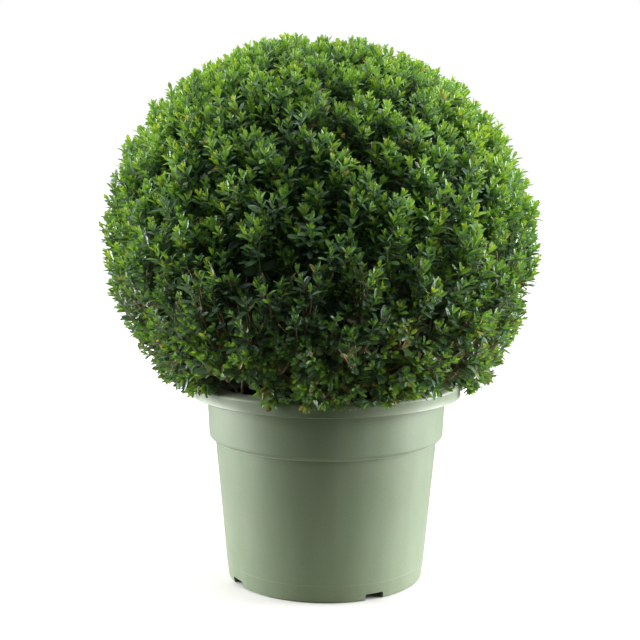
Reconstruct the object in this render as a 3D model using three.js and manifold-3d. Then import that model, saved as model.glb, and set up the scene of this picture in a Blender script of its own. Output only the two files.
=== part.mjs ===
// A clipped box shrub (Buxus) grown as a ball in a round plastic nursery container.
// Millimetres, +Z up. The origin is the middle of the container's flat underside.
import * as THREE from "three";
import { mergeVertices } from "three/addons/utils/BufferGeometryUtils.js";
import Module from "manifold-3d";

const wasm = await Module();
wasm.setup();

// ---- Driving dimensions -------------------------------------------------------------------

const GAP = 0.3; // between neighbours that meet face to face
const SEED = 7;

// Container: a rolled rim, a collar with a rounded ledge, and a tapered body on a short foot.
const POT = {
  height: 298,
  rimRadius: 200,
  rimDrop: 22, // height of the rim's outer band
  collarTopRadius: 177,
  collarBottomRadius: 174,
  ledgeZ: 216, // lower edge of the collar
  ledgeRound: 7,
  bodyTopRadius: 165,
  footTopRadius: 148.5,
  footZ: 26, // where the body turns into the foot
  baseRadius: 145.5,
  baseRound: 3,
  wall: 3,
  floor: 3,
  segments: 64,
};
// The rim's corners, from its outer face and from its top.
const RIM = { lip: 3, lipRise: 3, shoulder: 8, corner: 2, flatFrom: 6, flatTo: 17, throat: 6 };
const DRAIN = { count: 4, width: 29, height: 9.5, depth: 26, firstAzimuthDeg: 29 };

// Potting soil: a shallow mound below the rim.
const SOIL = { crownZ: 270, edgeZ: 263, flatRadius: 44, bulge: 1.5, clearance: 0.6 };

// Crown: a ball that sits on the rim and leans to -X. Above its middle its section is nearly an
// ellipse; below, it narrows sooner and ends in a broad fringe.
const CROWN = {
  centreX: -9,
  centreZ: 495,
  radius: 322,
  heightUp: 303,
  heightDown: 318,
  powerUp: 2.05,
  powerDown: 1.8,
  lean: -0.03,
  fringeZ: 289, // lowest leaf tips outside the rim
  overRim: 3, // clearance of the leaves over the rim
  slack: 0.002,
};
// The core's underside is hollowed over the container's mouth, where the boughs come up.
const CORE = {
  inset: 30,
  floorZ: 345,
  floorRadius: 158,
  edgeZ: 306,
  edgeRadius: 172,
  segments: 28,
  rings: 9,
};
const LUMPS = { depth: 4.5, round: 5, rise: 40, fade: 27 }; // the core's swellings, in waves
const RIM_GUARD = { inside: 10, outside: 2, below: 5, above: 2 };

const TRUNK = { topZ: 305, flareRadius: 33, waistRadius: 21, topRadius: 19, lean: 4, sides: 14 };
const STEM = { radius: 8, flare: 2, sunk: 12, sides: 10 }; // from the core down to the trunk
const BOUGHS = {
  count: 7,
  rootRadius: 8.5,
  tipRadius: 5.5,
  startZ: [284, 292], // alternate boughs leave the trunk low and high
  endReach: [128, 82], // and meet the core far out and nearer the middle
  vary: 6, // by how much the reach changes round the trunk
  root: [4, -2], // where a limb begins: out from the axis, and up from startZ
  bends: [[0.4, 0.3], [0.8, 0.72]], // shares of the reach and of the rise
  overrun: 8, // trimmed off at the core
  sides: 8,
  steps: 7,
};

// Sprays: each is a three-sided twig that carries a leaf on each face. The loose ones near the
// bottom fork.
const SPRAY = {
  count: 208,
  overFringe: 12, // the height of the lowest sprays over the fringe
  rootSunk: 15,
  reach: 12, // how far a shoot's end stands out of the core
  sway: 0.04,
  twigRadius: 3.4,
  tipRadius: 2.4,
  nodeHeight: 4, // the length of twig that the leaves grow from
  forkBelow: -0.5, // how low the forking starts, as a sine from the crown's middle
  forkShare: 0.3,
  forkAngle: 1.1,
  forkLength: 36,
};
const LEAF = {
  length: 68,
  width: 38,
  thickness: 2.6,
  widest: 0.56, // share of the length
  smallest: 0.75,
  angle: 1.05, // from the shoot's axis
  lowered: [0, 0.15, 0.3, 0.45],
  aside: [0, 0.35, -0.35, 0.6, -0.6],
};

// ---- Small helpers ------------------------------------------------------------------------

// Seeded random numbers from 0 to 1, the same on every run.
function randomSource(seed) {
  let state = seed >>> 0;
  return () => {
    state = (state + 0x6d2b79f5) >>> 0;
    let t = Math.imul(state ^ (state >>> 15), 1 | state);
    t = (t + Math.imul(t ^ (t >>> 7), 61 | t)) ^ t;
    return ((t ^ (t >>> 14)) >>> 0) / 4294967296;
  };
}

function toSolid(geometry) {
  const bare = geometry.clone();
  bare.deleteAttribute("normal");
  bare.deleteAttribute("uv");
  const merged = mergeVertices(bare, 1e-4);
  return new wasm.Manifold(
    new wasm.Mesh({
      numProp: 3,
      vertProperties: new Float32Array(merged.attributes.position.array),
      triVerts: new Uint32Array(merged.index.array),
    }),
  );
}

// The outer skin of a solid's largest body: scraps are dropped and sealed hollows are filled.
function outerSkin(solid) {
  return solid.decompose().reduce((a, b) => (b.volume() > a.volume() ? b : a));
}

function toGeometry(solid) {
  const mesh = solid.getMesh();
  const geometry = new THREE.BufferGeometry();
  geometry.setAttribute("position", new THREE.BufferAttribute(mesh.vertProperties, 3));
  geometry.setIndex(new THREE.BufferAttribute(mesh.triVerts, 1));
  const flat = geometry.toNonIndexed();
  flat.computeVertexNormals();
  return flat;
}

function finish(color, roughness) {
  return new THREE.MeshStandardMaterial({ color, roughness, metalness: 0 });
}

function named(name, geometry, material) {
  const mesh = new THREE.Mesh(geometry, material);
  mesh.name = name;
  return mesh;
}

function point(x, y) {
  return new THREE.Vector2(x, y);
}

// Turns a profile of (radius, height) points round the Z axis.
function turned(profile, segments) {
  return new THREE.LatheGeometry(profile, segments).rotateX(Math.PI / 2);
}

// A tapering limb: rings of the given radius along a curve, closed at both ends.
function taperedLimb(curve, radiusAt, sides, steps) {
  const frames = curve.computeFrenetFrames(steps, false);
  const positions = [];
  for (let i = 0; i <= steps; i++) {
    const centre = curve.getPoint(i / steps);
    const radius = radiusAt(i / steps);
    for (let j = 0; j < sides; j++) {
      const turn = (2 * Math.PI * j) / sides;
      const onRing = centre
        .clone()
        .addScaledVector(frames.normals[i], radius * Math.cos(turn))
        .addScaledVector(frames.binormals[i], radius * Math.sin(turn));
      positions.push(...onRing.toArray());
    }
  }
  const first = positions.length / 3;
  positions.push(...curve.getPoint(0).toArray(), ...curve.getPoint(1).toArray());
  const faces = [];
  for (let j = 0; j < sides; j++) {
    const next = (j + 1) % sides;
    for (let i = 0; i < steps; i++) {
      const a = i * sides + j;
      const b = i * sides + next;
      faces.push(a, b, b + sides, a, b + sides, a + sides);
    }
    faces.push(first, next, j);
    faces.push(first + 1, steps * sides + j, steps * sides + next);
  }
  const geometry = new THREE.BufferGeometry();
  geometry.setAttribute("position", new THREE.Float32BufferAttribute(positions, 3));
  geometry.setIndex(faces);
  return geometry;
}

// ---- Container ----------------------------------------------------------------------------

// Outer wall from the underside up to the rim's lower edge.
function potOutside() {
  const p = POT;
  const ledge = [0, 0.5, 1].map((t) => {
    const turn = (t * Math.PI) / 2;
    return point(
      p.bodyTopRadius + (p.collarBottomRadius - p.bodyTopRadius) * Math.sin(turn),
      p.ledgeZ - p.ledgeRound + p.ledgeRound * (1 - Math.cos(turn)),
    );
  });
  return [
    point(p.baseRadius - p.baseRound, 0),
    point(p.baseRadius, p.baseRound),
    point(p.footTopRadius, p.footZ),
    ...ledge,
    point(p.collarTopRadius, p.height - p.rimDrop),
  ];
}

// The rim turns outwards, down and back: a flat top with rounded corners over a short skirt.
function potRim() {
  const { rimRadius, height, rimDrop } = POT;
  return [
    point(rimRadius - RIM.lip, height - rimDrop),
    point(rimRadius - RIM.lip / 3, height - rimDrop + RIM.lipRise),
    point(rimRadius, height - RIM.shoulder),
    point(rimRadius - RIM.corner, height - RIM.corner),
    point(rimRadius - RIM.flatFrom, height),
    point(rimRadius - RIM.flatTo, height),
    point(POT.collarTopRadius - POT.wall, height - RIM.throat),
  ];
}

function potInside() {
  const { wall, floor, ledgeZ, baseRadius } = POT;
  const inwards = potOutside()
    .slice(2)
    .map((q) => point(q.x - wall, q.y + (q.y < ledgeZ ? 1 : 0)));
  const corner = [point(baseRadius - wall - 2, floor + 2), point(baseRadius - wall - 6, floor)];
  return [...inwards.reverse(), ...corner];
}

function pot() {
  const profile = [point(0, 0), ...potOutside(), ...potRim(), ...potInside(), point(0, POT.floor)];
  const shell = toSolid(turned(profile, POT.segments));
  const drains = [];
  for (let i = 0; i < DRAIN.count; i++) {
    const turn = THREE.MathUtils.degToRad(DRAIN.firstAzimuthDeg - 90 + (360 * i) / DRAIN.count);
    const slot = new THREE.BoxGeometry(2 * DRAIN.depth, DRAIN.width, 2 * DRAIN.height);
    slot.translate(POT.baseRadius, 0, 0).rotateZ(turn);
    drains.push(toSolid(slot));
  }
  return outerSkin(shell.subtract(wasm.Manifold.union(drains)));
}

// ---- Potting soil -------------------------------------------------------------------------

function pottingSoil() {
  const { clearance, crownZ, edgeZ, flatRadius } = SOIL;
  const sides = potInside()
    .reverse()
    .filter((q) => q.y < edgeZ)
    .map((q) => point(q.x - clearance, Math.max(q.y, POT.floor + GAP)));
  const edgeRadius = POT.collarTopRadius - POT.wall - 2 * clearance;
  const profile = [
    point(0, POT.floor + GAP),
    ...sides,
    point(edgeRadius, edgeZ),
    point((edgeRadius + flatRadius) / 2, (edgeZ + crownZ) / 2 + SOIL.bulge),
    point(flatRadius, crownZ),
    point(0, crownZ),
  ];
  return turned(profile, POT.segments);
}

// ---- Wood ---------------------------------------------------------------------------------

function trunkRadius(share) {
  const flare = (TRUNK.flareRadius - TRUNK.waistRadius) * Math.pow(1 - share, 3);
  return flare + THREE.MathUtils.lerp(TRUNK.waistRadius, TRUNK.topRadius, share);
}

// Stands on the soil with a flat cut; spare makes it thicker all round for cutting others clear.
function trunk(spare = 0) {
  const rings = 5;
  const profile = [point(0, 0)];
  const length = TRUNK.topZ - SOIL.crownZ - GAP;
  for (let i = 0; i <= rings; i++) profile.push(point(trunkRadius(i / rings) + spare, (length * i) / rings));
  profile.push(point(0, length));
  const geometry = turned(profile, TRUNK.sides);
  const lean = new THREE.Matrix4().makeShear(0, 0, 0, 0, -TRUNK.lean / length, 0);
  return geometry.applyMatrix4(lean).translate(0, 0, SOIL.crownZ + GAP);
}

function boughCurve(index) {
  const high = index % 2;
  const azimuth = (2 * Math.PI * (index + 0.25)) / BOUGHS.count;
  const reach = BOUGHS.endReach[high] + BOUGHS.vary * Math.sin(3 * azimuth);
  const startZ = BOUGHS.startZ[high];
  const rise = CORE.floorZ - startZ;
  const out = (radius, z) => new THREE.Vector3(radius * Math.cos(azimuth), radius * Math.sin(azimuth), z);
  return new THREE.CatmullRomCurve3([
    out(BOUGHS.root[0], startZ + BOUGHS.root[1]),
    ...BOUGHS.bends.map(([along, up]) => out(along * reach, startZ + up * rise)),
    out(reach, CORE.floorZ + BOUGHS.overrun),
  ]);
}

// A bough runs from the trunk's side to the flat underside of the foliage's core.
function bough(index, trunkWithGap) {
  const radiusAt = (t) => THREE.MathUtils.lerp(BOUGHS.rootRadius, BOUGHS.tipRadius, t);
  const limb = toSolid(taperedLimb(boughCurve(index), radiusAt, BOUGHS.sides, BOUGHS.steps));
  const above = new THREE.BoxGeometry(800, 800, 100).translate(0, 0, CORE.floorZ - GAP + 50);
  return outerSkin(limb.subtract(toSolid(above)).subtract(trunkWithGap));
}

// ---- Foliage ------------------------------------------------------------------------------

// The crown's section at a sine from -1 at its bottom to 1 at its top: half its width there, and
// the height over its middle.
function section(sine, inset) {
  const above = sine > 0;
  const power = above ? CROWN.powerUp : CROWN.powerDown;
  const height = (above ? CROWN.heightUp : CROWN.heightDown) - inset;
  return {
    across: (CROWN.radius - inset) * Math.pow(1 - sine * sine, 1 / power),
    up: Math.sign(sine) * height * Math.pow(Math.abs(sine), 2 / power),
  };
}

// The sine at which the inset section comes down to a height.
function sineAt(z, inset) {
  const share = (CROWN.centreZ - z) / (CROWN.heightDown - inset);
  return -Math.pow(share, CROWN.powerDown / 2);
}

function crownPoint(azimuth, sine, inset) {
  const { across, up } = section(sine, inset);
  const x = CROWN.centreX + CROWN.lean * up + across * Math.cos(azimuth);
  return new THREE.Vector3(x, across * Math.sin(azimuth), CROWN.centreZ + up);
}

// How far out a point lies: 1 on the crown's outline.
function outwardness(p) {
  const up = p.z - CROWN.centreZ;
  const [height, power] = up > 0 ? [CROWN.heightUp, CROWN.powerUp] : [CROWN.heightDown, CROWN.powerDown];
  const across = Math.hypot(p.x - CROWN.centreX - CROWN.lean * up, p.y) / CROWN.radius;
  return Math.pow(Math.pow(across, power) + Math.pow(Math.abs(up) / height, power), 1 / power);
}

// The foliage's own space: inside the outline, above the fringe, and out of the hollow over the
// container's mouth, which holds the boughs.
function inSpace(p) {
  const fromAxis = Math.hypot(p.x, p.y);
  const lowest = fromAxis < POT.rimRadius ? POT.height + CROWN.overRim : CROWN.fringeZ;
  const inHollow = fromAxis < CORE.floorRadius && p.z < CORE.floorZ;
  return outwardness(p) <= 1 + CROWN.slack && p.z >= lowest && !inHollow;
}

// A ring a little larger than the container's rim, which no leaf or twig may touch.
function rimGuard() {
  const [inner, outer] = [POT.collarTopRadius - RIM_GUARD.inside, POT.rimRadius + RIM_GUARD.outside];
  const [low, high] = [POT.height - POT.rimDrop - RIM_GUARD.below, POT.height + RIM_GUARD.above];
  const corners = [point(inner, low), point(outer, low), point(outer, high), point(inner, high)];
  return toSolid(turned([...corners, corners[0]], POT.segments));
}

// How much a swelling draws the core's side in, as a share of its radius.
function lumpShare(p) {
  const high = THREE.MathUtils.smoothstep(p.z, CORE.floorZ, CROWN.centreZ);
  const turn = Math.atan2(Math.round(p.y), Math.round(p.x));
  const wave = Math.sin(LUMPS.round * turn + p.z / LUMPS.rise) * Math.cos(p.z / LUMPS.fade);
  return (high * LUMPS.depth * (1 + wave)) / CROWN.radius;
}

function core() {
  const hollow = [point(0, CORE.floorZ), point(CORE.floorRadius, CORE.floorZ)];
  const profile = [...hollow, point(CORE.edgeRadius, CORE.edgeZ)];
  const lowAngle = Math.asin(sineAt(CORE.edgeZ, CORE.inset));
  for (let i = 0; i <= CORE.rings; i++) {
    const angle = THREE.MathUtils.lerp(lowAngle, Math.PI / 2, i / CORE.rings);
    const { across, up } = section(Math.sin(angle), CORE.inset);
    profile.push(point(i < CORE.rings ? across : 0, CROWN.centreZ + up));
  }
  const geometry = turned(profile, CORE.segments);
  const position = geometry.attributes.position;
  for (let i = 0; i < position.count; i++) {
    const p = new THREE.Vector3().fromBufferAttribute(position, i);
    const kept = 1 - lumpShare(p);
    const middle = CROWN.centreX + CROWN.lean * (p.z - CROWN.centreZ);
    position.setXYZ(i, middle + p.x * kept, p.y * kept, p.z);
  }
  return geometry;
}

// The stem comes down from the core to the trunk's flat top.
function stem() {
  const length = CORE.floorZ + STEM.sunk - TRUNK.topZ - GAP;
  const geometry = new THREE.CylinderGeometry(STEM.radius, STEM.radius + STEM.flare, length, STEM.sides);
  return geometry.rotateX(Math.PI / 2).translate(-TRUNK.lean, 0, TRUNK.topZ + GAP + length / 2);
}

// The heading tipped away from an axis by an angle, towards the side at an azimuth round it.
function tipped(axis, angle, azimuth) {
  const across = Math.abs(axis.z) < 0.9 ? new THREE.Vector3(0, 0, 1) : new THREE.Vector3(1, 0, 0);
  const side = across.cross(axis).normalize().applyAxisAngle(axis, azimuth);
  return axis.clone().multiplyScalar(Math.cos(angle)).addScaledVector(side, Math.sin(angle));
}

// The five outer corners of a leaf: under its middle, right, on its midrib, left, and the tip.
// It is widest past its middle, and its upper side turns towards the axis it grows on.
function leafCorners(leaf, axis) {
  const { root, heading, size } = leaf;
  const across = new THREE.Vector3().crossVectors(axis, heading).setLength((LEAF.width * size) / 2);
  const up = new THREE.Vector3().crossVectors(heading, across).setLength(LEAF.thickness / 2);
  const middle = root.clone().addScaledVector(heading, LEAF.widest * LEAF.length * size);
  return [
    middle.clone().sub(up),
    middle.clone().add(across),
    middle.clone().add(up),
    middle.clone().sub(across),
    root.clone().addScaledVector(heading, LEAF.length * size),
  ];
}

function solidFrom(corners, faces) {
  const geometry = new THREE.BufferGeometry();
  geometry.setAttribute("position", new THREE.Float32BufferAttribute(corners.flatMap((p) => p.toArray()), 3));
  return toSolid(geometry.setIndex(faces));
}

// The leaf alone, of eight faces, to try whether it has room.
function leafSolid(leaf, axis) {
  const faces = [];
  for (let k = 0; k < 4; k++) faces.push(k, (k + 1) % 4, 4, (k + 1) % 4, k, 5);
  return solidFrom([...leafCorners(leaf, axis), leaf.root], faces);
}

// A shoot is one closed mesh: a tapering three-sided twig whose faces each carry a leaf near the
// tip, on the quad between its last two rings.
function shootSolid(shoot) {
  const { root, axis, length, turn } = shoot;
  const corners = [];
  const { twigRadius, tipRadius, nodeHeight } = SPRAY;
  for (const [radius, along] of [[twigRadius, 0], [tipRadius, length - nodeHeight], [tipRadius, length]]) {
    for (let i = 0; i < 3; i++) {
      const outwards = tipped(axis, Math.PI / 2, turn + (2 * Math.PI * i) / 3);
      corners.push(root.clone().addScaledVector(axis, along).addScaledVector(outwards, radius));
    }
  }
  const faces = [0, 2, 1, 6, 7, 8];
  for (let i = 0; i < 3; i++) {
    const next = (i + 1) % 3;
    faces.push(i, next, next + 3, i, next + 3, i + 3);
    const quad = [i + 3, next + 3, next + 6, i + 6];
    const leaf = shoot.leaves[i];
    if (leaf) {
      const first = corners.length;
      corners.push(...leafCorners(leaf, axis));
      faces.push(...leafFaces(quad, first));
    } else {
      faces.push(quad[0], quad[1], quad[2], quad[0], quad[2], quad[3]);
    }
  }
  return solidFrom(corners, faces);
}

// Joins a quad of the twig to the leaf corners that start at first.
function leafFaces(quad, first) {
  const faces = [];
  for (let k = 0; k < 4; k++) {
    const next = (k + 1) % 4;
    faces.push(quad[k], quad[next], first + k);
    faces.push(first + k, quad[next], first + next);
    faces.push(first + k, first + next, first + 4);
  }
  return faces;
}

// Whether a solid keeps to the foliage's space and crosses nothing that has grown near it.
function hasRoom(growth, solid, middle, reach) {
  const { vertProperties } = solid.getMesh();
  for (let i = 0; i < vertProperties.length; i += 3) {
    if (!inSpace(new THREE.Vector3().fromArray(vertProperties, i))) return false;
  }
  const low = solid.boundingBox().min[2] < POT.height + CROWN.overRim;
  if (low && !solid.intersect(growth.rimGuard).isEmpty()) return false;
  const near = growth.grown.filter((other) => other.middle.distanceTo(middle) < reach + other.reach);
  return !near.some((other) => !other.solid.intersect(solid).isEmpty());
}

// Finds a side leaf the first heading that has room: at its usual angle, lower, or turned.
function findLeaf(growth, node, axis, azimuth, size) {
  for (const lowered of LEAF.lowered) {
    for (const aside of LEAF.aside) {
      const heading = tipped(axis, LEAF.angle + lowered, azimuth + aside);
      const leaf = { root: node, heading, size };
      const solid = leafSolid(leaf, axis);
      const reach = (LEAF.length * size) / 2;
      const middle = node.clone().addScaledVector(heading, reach);
      if (hasRoom(growth, solid, middle, reach)) return { ...leaf, solid, middle, reach };
    }
  }
  return null;
}

// Adds one straight shoot with the side leaves that find room.
function addShoot(growth, root, tip, random) {
  const axis = tip.clone().sub(root);
  const length = axis.length();
  axis.normalize();
  const shoot = { root, axis, length, turn: 2 * Math.PI * random(), leaves: [] };
  const bare = shootSolid(shoot);
  const middle = root.clone().lerp(tip, 0.5);
  if (!hasRoom(growth, bare, middle, length / 2)) return;
  const node = tip.clone().addScaledVector(axis, -SPRAY.nodeHeight / 2);
  for (let i = 0; i < 3; i++) {
    const azimuth = shoot.turn + ((2 * i + 1) * Math.PI) / 3;
    const size = THREE.MathUtils.lerp(LEAF.smallest, 1, random());
    shoot.leaves.push(findLeaf(growth, node, axis, azimuth, size));
  }
  growth.grown.push({ solid: bare, middle, reach: length / 2 }, ...shoot.leaves.filter(Boolean));
  growth.shoots.push(shootSolid(shoot));
}

// A spray: one shoot from the core, which near the bottom forks into a second.
function addSpray(growth, azimuth, sine, random) {
  const root = crownPoint(azimuth, sine, CORE.inset + SPRAY.rootSunk);
  const end = crownPoint(azimuth + SPRAY.sway * (random() - 0.5), sine, CORE.inset - SPRAY.reach);
  addShoot(growth, root, end, random);
  if (sine > SPRAY.forkBelow) return;
  const heading = tipped(end.clone().sub(root).normalize(), SPRAY.forkAngle, 2 * Math.PI * random());
  const fork = root.clone().lerp(end, SPRAY.forkShare);
  addShoot(growth, fork, fork.clone().addScaledVector(heading, SPRAY.forkLength), random);
}

function foliageBall() {
  const random = randomSource(SEED);
  const growth = { shoots: [], grown: [], rimGuard: rimGuard() };
  const goldenAngle = Math.PI * (3 - Math.sqrt(5));
  const lowSine = sineAt(CROWN.fringeZ + SPRAY.overFringe, 0);
  for (let i = 0; i < SPRAY.count; i++) {
    const sine = THREE.MathUtils.lerp(1, lowSine, (i + 0.5) / SPRAY.count);
    addSpray(growth, goldenAngle * i, sine, random);
  }
  return outerSkin(wasm.Manifold.union([toSolid(core()), toSolid(stem()), ...growth.shoots]));
}

// ---- Assembly -----------------------------------------------------------------------------

const potPlastic = finish(0x8fa68a, 0.55);
const soilCrumb = finish(0x2e2118, 0.95);
const bark = finish(0x7a6648, 0.85);
const boxLeaf = finish(0x3f6e22, 0.45);

const shrub = new THREE.Group();
shrub.add(named("pot", toGeometry(pot()), potPlastic));
shrub.add(named("potting_soil", pottingSoil(), soilCrumb));
shrub.add(named("trunk", trunk(), bark));
const trunkWithGap = toSolid(trunk(GAP));
for (let i = 0; i < BOUGHS.count; i++) {
  shrub.add(named(`bough_${i + 1}`, toGeometry(bough(i, trunkWithGap)), bark));
}
shrub.add(named("foliage_ball", toGeometry(foliageBall()), boxLeaf));

export default shrub;
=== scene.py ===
"""Looks of a clipped box ball in its nursery container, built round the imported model.

Metres, in the model's own frame: +Z up, the front towards -Y.
"""

import math

import bmesh
import bpy
import numpy as np
from mathutils import Matrix, Vector, noise


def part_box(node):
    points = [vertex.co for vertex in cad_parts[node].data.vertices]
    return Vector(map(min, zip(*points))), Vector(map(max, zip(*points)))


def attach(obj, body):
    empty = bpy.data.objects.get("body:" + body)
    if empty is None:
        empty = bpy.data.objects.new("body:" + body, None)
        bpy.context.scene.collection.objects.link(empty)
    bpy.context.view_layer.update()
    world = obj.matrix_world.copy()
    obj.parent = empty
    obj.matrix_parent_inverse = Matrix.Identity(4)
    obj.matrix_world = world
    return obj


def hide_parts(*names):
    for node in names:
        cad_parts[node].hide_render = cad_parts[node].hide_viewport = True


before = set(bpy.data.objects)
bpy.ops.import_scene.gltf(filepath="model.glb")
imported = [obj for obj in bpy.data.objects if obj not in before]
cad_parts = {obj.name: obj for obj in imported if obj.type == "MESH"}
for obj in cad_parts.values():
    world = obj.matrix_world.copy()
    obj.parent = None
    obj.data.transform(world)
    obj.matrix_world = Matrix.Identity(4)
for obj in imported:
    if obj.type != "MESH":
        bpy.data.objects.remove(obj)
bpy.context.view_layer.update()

# ---- Driving sizes ----

SEED = 11
GOLDEN_ANGLE = math.pi * (3 - math.sqrt(5))
MM = 0.001

pot_low, pot_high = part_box("pot")
trunk_low, trunk_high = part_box("trunk")

RIM_RADIUS = (pot_high.x - pot_low.x) / 2
POT_TOP = pot_high.z
SOIL_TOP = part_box("potting_soil")[1].z
TRUNK_LEAN = trunk_low.x + trunk_high.x

# The container's wall, from its driving sizes; radii are of the outer face.
POT = dict(
    base_radius=145.5 * MM,
    foot_radius=148.5 * MM,
    foot_z=26 * MM,
    foot_groove=0.2 * MM,
    base_round=2.5 * MM,
    body_top_radius=165 * MM,
    ledge_z=216 * MM,
    ledge_round=7 * MM,
    collar_low_radius=174 * MM,
    collar_top_radius=177 * MM,
    rim_drop=22 * MM,
    wall=3 * MM,
    floor=3 * MM,
    floor_corner=5 * MM,
    segments=224,
)
RIM = dict(lip=1.4 * MM, round_top=6.5 * MM)
DRAIN = dict(
    count=4,
    width=29 * MM,
    height=9.5 * MM,
    depth=26 * MM,
    corner=2.5 * MM,
    first_azimuth=29,
)

# The crown: a ball that leans a little to -X. Above and below its middle it has a height and a
# power of its own; a power of 2 makes an ellipsoid.
CROWN_CENTRE = np.array([-9 * MM, 0, 495 * MM])
CROWN_RADIUS = 322 * MM
CROWN_UP = 303 * MM
CROWN_DOWN = 318 * MM
CROWN_POWER_UP = 2.05
CROWN_POWER_DOWN = 1.8
CROWN_LEAN = -0.03
# The lowest that clipped leaves hang at X = 0, and how much higher that is per metre aside.
FRINGE_Z = 289 * MM
FRINGE_TILT = 0.05

TRUNK = dict(rings=26, radius=21 * MM, taper=2 * MM, flare=12 * MM, flare_power=3)
# Boughs of two kinds take turns, so start height and reach hold a value for each.
BOUGHS = dict(
    count=7,
    rings=40,
    root_radius=8.5 * MM,
    tip_radius=5.5 * MM,
    start_z=(284 * MM, 292 * MM),
    end_reach=(128 * MM, 82 * MM),
    floor_z=345 * MM,
)
LIMB_SIDES = 28
BARK_RELIEF = dict(around=3.2, along=22, drift=0.05, proud=1.04, depth=0.16)


# ---- Materials ----


class Nodes:
    """A node tree under construction: an output, and nodes added one by one."""

    def __init__(self, owner, output):
        owner.use_nodes = True
        self.tree = owner.node_tree
        self.tree.nodes.clear()
        self.output = self.node(output)

    def node(self, kind, **values):
        """Adds a node; each value sets its property, or else its input, of that name."""
        made = self.tree.nodes.new(kind)
        for key, value in values.items():
            if hasattr(made, key):
                setattr(made, key, value)
            else:
                made.inputs[key.replace("_", " ")].default_value = value
        return made

    def join(self, start, end):
        """Links an output to an input."""
        self.tree.links.new(start, end)

    def blend(self, first, second):
        """Puts a mix of two shaders on the surface; gives back the input of its factor."""
        made = self.node("ShaderNodeMixShader")
        self.join(first.outputs[0], made.inputs[1])
        self.join(second.outputs[0], made.inputs[2])
        self.join(made.outputs[0], self.output.inputs["Surface"])
        return made.inputs[0]


class Finish(Nodes):
    """A material with a Principled shader."""

    def __init__(self, name, roughness=0.5, specular=0.5):
        self.material = bpy.data.materials.new(name)
        super().__init__(self.material, "ShaderNodeOutputMaterial")
        self.shader = self.node("ShaderNodeBsdfPrincipled")
        self.join(self.shader.outputs[0], self.output.inputs["Surface"])
        self.shader.inputs["Roughness"].default_value = roughness
        self.shader.inputs["Specular IOR Level"].default_value = specular
        self.place = self.node("ShaderNodeTexCoord").outputs["Object"]

    def noise(self, scale, detail=3.0, roughness=0.55, stretch=None):
        """Noise from 0 to 1 in object space; stretch scales the axes before the noise."""
        place = self.place
        if stretch:
            mapping = self.node("ShaderNodeMapping", Scale=stretch)
            self.join(place, mapping.inputs["Vector"])
            place = mapping.outputs[0]
        made = self.node("ShaderNodeTexNoise", Scale=scale, Detail=detail, Roughness=roughness)
        self.join(place, made.inputs["Vector"])
        return made.outputs["Fac"]

    def ramp(self, value, stops):
        """A colour ramp through (position, colour) stops."""
        made = self.node("ShaderNodeValToRGB")
        self.join(value, made.inputs["Fac"])
        elements = made.color_ramp.elements
        while len(elements) < len(stops):
            elements.new(0.5)
        for element, (position, colour) in zip(elements, stops):
            element.position = position
            element.color = (*colour, 1)
        return made.outputs["Color"]

    def mix(self, factor, first, second):
        """Mixes two colours, given as sockets or as plain colours, by a socket factor."""
        made = self.node("ShaderNodeMix", data_type="RGBA")
        self.join(factor, made.inputs[0])
        for value, socket in ((first, made.inputs[6]), (second, made.inputs[7])):
            if isinstance(value, bpy.types.NodeSocket):
                self.join(value, socket)
            else:
                socket.default_value = (*value, 1)
        return made.outputs[2]

    def range(self, value, low, high, from_low=0.3, from_high=0.7):
        """Maps a socket's value from one range to another, and clamps it."""
        ends = dict(From_Min=from_low, From_Max=from_high, To_Min=low, To_Max=high)
        made = self.node("ShaderNodeMapRange", **ends)
        self.join(value, made.inputs["Value"])
        return made.outputs["Result"]

    def bumps(self, layers):
        """Bump layers (height socket, strength, distance in metres), the first one lowest."""
        below = None
        for height, strength, distance in layers:
            made = self.node("ShaderNodeBump", Strength=strength, Distance=distance)
            self.join(height, made.inputs["Height"])
            if below:
                self.join(below, made.inputs["Normal"])
            below = made.outputs["Normal"]
        self.join(below, self.shader.inputs["Normal"])


def pot_plastic():
    """Matt sage-green moulded plastic: faint clouds, yellowing, streaks, dust specks, scuffs."""
    f = Finish("pot_plastic", roughness=0.5, specular=0.9)
    f.shader.inputs["Sheen Weight"].default_value = 0.6
    f.shader.inputs["Sheen Roughness"].default_value = 0.35
    clouds = f.noise(9, detail=4)
    streaks = f.noise(22, detail=5, stretch=(1, 1, 0.12))
    specks = f.noise(420, detail=2)
    green = f.ramp(clouds, [(0.3, (0.230, 0.304, 0.192)), (0.7, (0.262, 0.340, 0.223))])
    yellowing = f.noise(5, detail=4, stretch=(1, 1, 3.5))
    aged = f.mix(f.range(yellowing, 0, 0.5, 0.48, 0.68), green, (0.284, 0.322, 0.210))
    pale = f.mix(f.range(streaks, 0, 0.35, 0.45, 0.75), aged, (0.38, 0.45, 0.33))
    dusty = f.mix(f.range(specks, 0, 0.4, 0.62, 0.75), pale, (0.46, 0.51, 0.41))
    f.join(dusty, f.shader.inputs["Base Color"])
    scuffs = f.noise(60, detail=6, roughness=0.7)
    f.join(f.range(scuffs, 0.42, 0.58), f.shader.inputs["Roughness"])
    f.bumps([(f.noise(14, detail=2), 0.25, 0.0012), (f.noise(900, detail=2), 0.12, 0.0002)])
    return f.material


def potting_mix():
    """Dark crumbly compost with paler bark fibres."""
    f = Finish("potting_mix", roughness=0.95, specular=0.15)
    crumbs = f.noise(160, detail=8, roughness=0.7)
    wet, damp, fibre = (0.010, 0.007, 0.005), (0.035, 0.022, 0.014), (0.11, 0.07, 0.045)
    soil = f.ramp(crumbs, [(0.3, wet), (0.6, damp), (0.8, fibre)])
    f.join(soil, f.shader.inputs["Base Color"])
    f.bumps([(crumbs, 0.9, 0.003)])
    return f.material


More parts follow.
